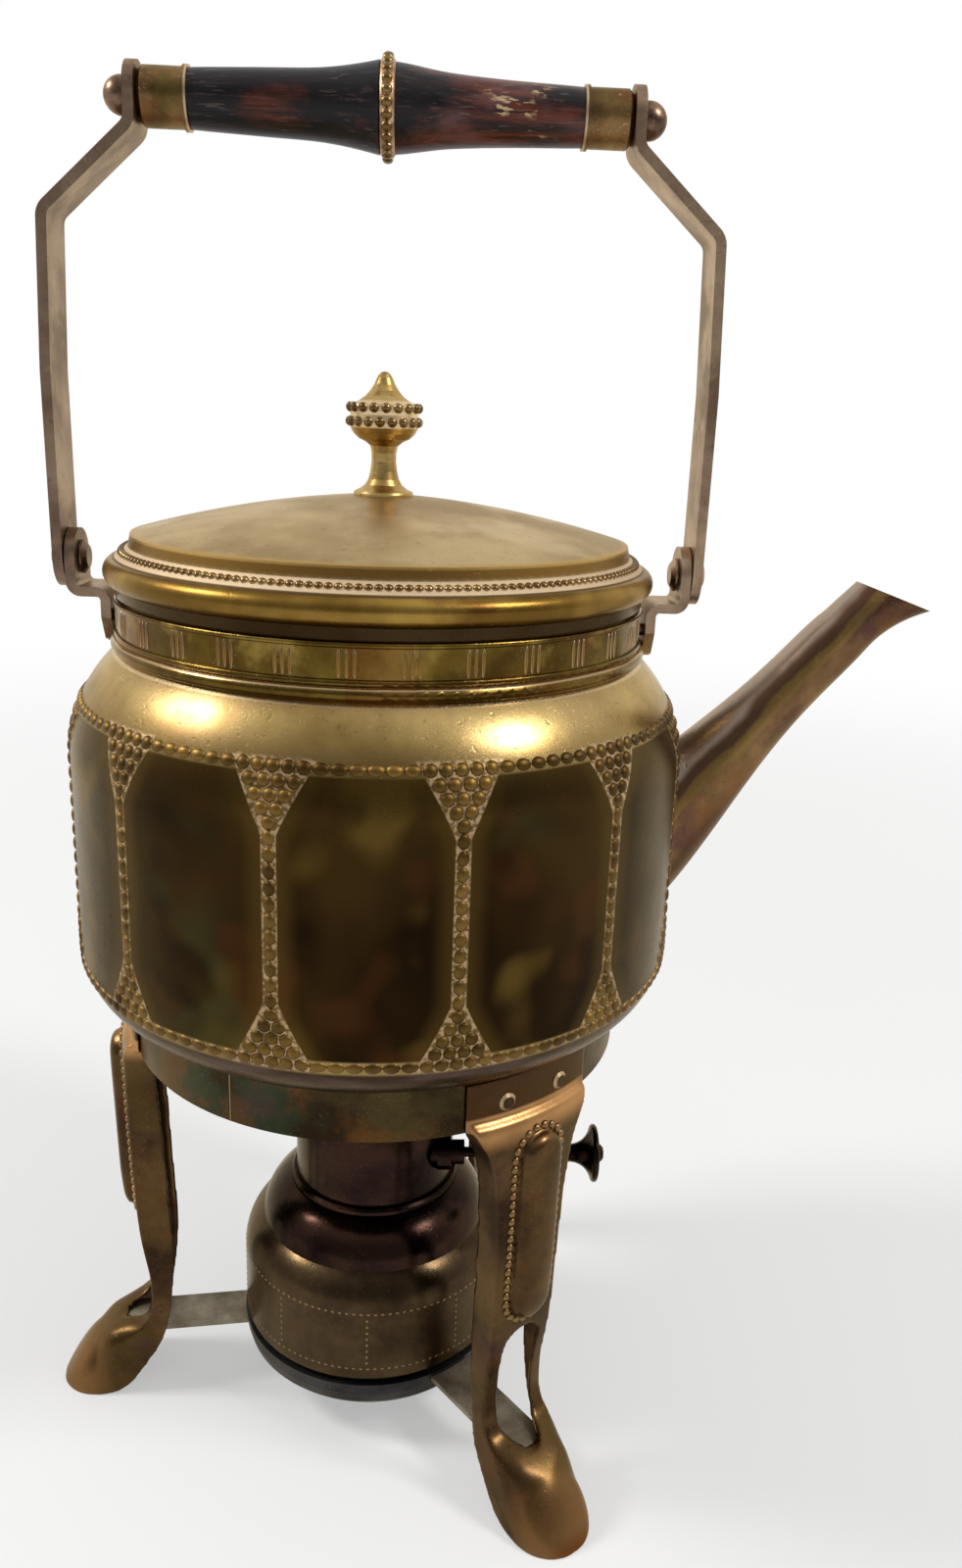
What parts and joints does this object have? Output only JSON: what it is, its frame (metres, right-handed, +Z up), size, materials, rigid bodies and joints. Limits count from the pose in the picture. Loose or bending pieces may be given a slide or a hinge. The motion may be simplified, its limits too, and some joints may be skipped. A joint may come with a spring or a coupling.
{
  "type": "spirit kettle on stand",
  "caption": "Spirit kettle with a swinging wood-gripped bail and lift-off lid, on an open three-legged stand with an adjustable spirit burner.",
  "frame": {"origin": "on the surface under the feet, below the kettle's vertical axis", "axes": "+X towards the spout, +Z up, the bail's pivots parallel to X"},
  "size_m": [0.2464, 0.1723, 0.3751],
  "materials": {
    "stand_ring": "aged, brown patina",
    "leg_front": "aged, gold on the toe and pad",
    "leg_back": "aged, gold on the toe and pad",
    "leg_left": "aged, gold on the toe and pad",
    "leg_rivets": "aged",
    "arm_front": "dull grey",
    "arm_back": "dull grey",
    "arm_left": "dull grey",
    "arm_rivets": "dull",
    "burner_pan": "dark, oxidised",
    "kettle_body": "aged, with gold worn spots",
    "base_ring": "aged",
    "neck_band": "dark patina in grooves",
    "spout": "brown patina",
    "lug_right": "aged",
    "lug_left": "aged",
    "lug_rivets": "aged",
    "lid_shell": "aged, warm",
    "lid_flange": "aged",
    "lid_knob": "aged",
    "knob_nut": "plain",
    "bail_strap_right": "dull",
    "bail_strap_left": "dark, dull",
    "pivot_rivets": "aged",
    "grip_rod": "plain",
    "grip_ring": "beaded, worn",
    "ferrule_right": "aged",
    "ferrule_left": "aged",
    "grip_wood_right": "ebonised, worn to red-brown",
    "grip_wood_left": "ebonised, worn",
    "ball_nut_right": "aged",
    "ball_nut_left": "aged",
    "reservoir": "dark patina",
    "reservoir_top": "dark patina",
    "burner_collar": "dark patina",
    "shaft_bush": "aged",
    "wick_tube": "sooted",
    "regulator_shaft": "dull",
    "wick_wheel": "plain",
    "regulator_knob": "dark patina",
    "wick": "woven cotton, charred at the tip"
  },
  "bodies": {
    "stand": {"stand_ring": "stand_ring", "leg_front": "leg_front", "leg_back": "leg_back", "leg_left": "leg_left", "leg_rivets": "leg_rivets", "arm_front": "arm_front", "arm_back": "arm_back", "arm_left": "arm_left", "arm_rivets": "arm_rivets", "burner_pan": "burner_pan"},
    "kettle": {"kettle_body": "kettle_body", "base_ring": "base_ring", "neck_band": "neck_band", "spout": "spout", "lug_right": "lug_right", "lug_left": "lug_left", "lug_rivets": "lug_rivets"},
    "lid": {"lid_shell": "lid_shell", "lid_flange": "lid_flange", "lid_knob": "lid_knob", "knob_nut": "knob_nut"},
    "bail": {"bail_strap_right": "bail_strap_right", "bail_strap_left": "bail_strap_left", "pivot_rivets": "pivot_rivets", "grip_rod": "grip_rod", "grip_ring": "grip_ring", "ferrule_right": "ferrule_right", "ferrule_left": "ferrule_left", "grip_wood_right": "grip_wood_right", "grip_wood_left": "grip_wood_left", "ball_nut_right": "ball_nut_right", "ball_nut_left": "ball_nut_left"},
    "burner": {"reservoir": "reservoir", "reservoir_top": "reservoir_top", "burner_collar": "burner_collar", "shaft_bush": "shaft_bush", "wick_tube": "wick_tube"},
    "regulator": {"regulator_shaft": "regulator_shaft", "wick_wheel": "wick_wheel", "regulator_knob": "regulator_knob"},
    "wick": {"wick": "wick"}
  },
  "joints": [
    {"name": "kettle_lift", "type": "slide", "parent": "stand", "child": "kettle", "axis": [0, 0, 1], "range_m": [0, 0.12]},
    {"name": "lid_lift", "type": "slide", "parent": "kettle", "child": "lid", "axis": [0, 0, 1], "range_m": [0, 0.04]},
    {"name": "bail_swing", "type": "hinge", "parent": "kettle", "child": "bail", "pos_m": [0, 0, 0.2537], "axis": [1, 0, 0], "range_deg": [-114, 114]},
    {"name": "burner_draw", "type": "slide", "parent": "stand", "child": "burner", "axis": [0.9925, 0.1219, 0], "range_m": [0, 0.15]},
    {"name": "regulator_turn", "type": "hinge", "parent": "burner", "child": "regulator", "pos_m": [0, -0.0134, 0.082], "axis": [1, 0, 0], "range_deg": [-65, 100]},
    {"name": "wick_rise", "type": "slide", "parent": "burner", "child": "wick", "axis": [0, 0, 1], "range_m": [-0.0041, 0.0061]}
  ],
  "couplings": [
    {"joint": "wick_rise", "follows": "regulator_turn", "m_per_rad": 0.0034}
  ]
}
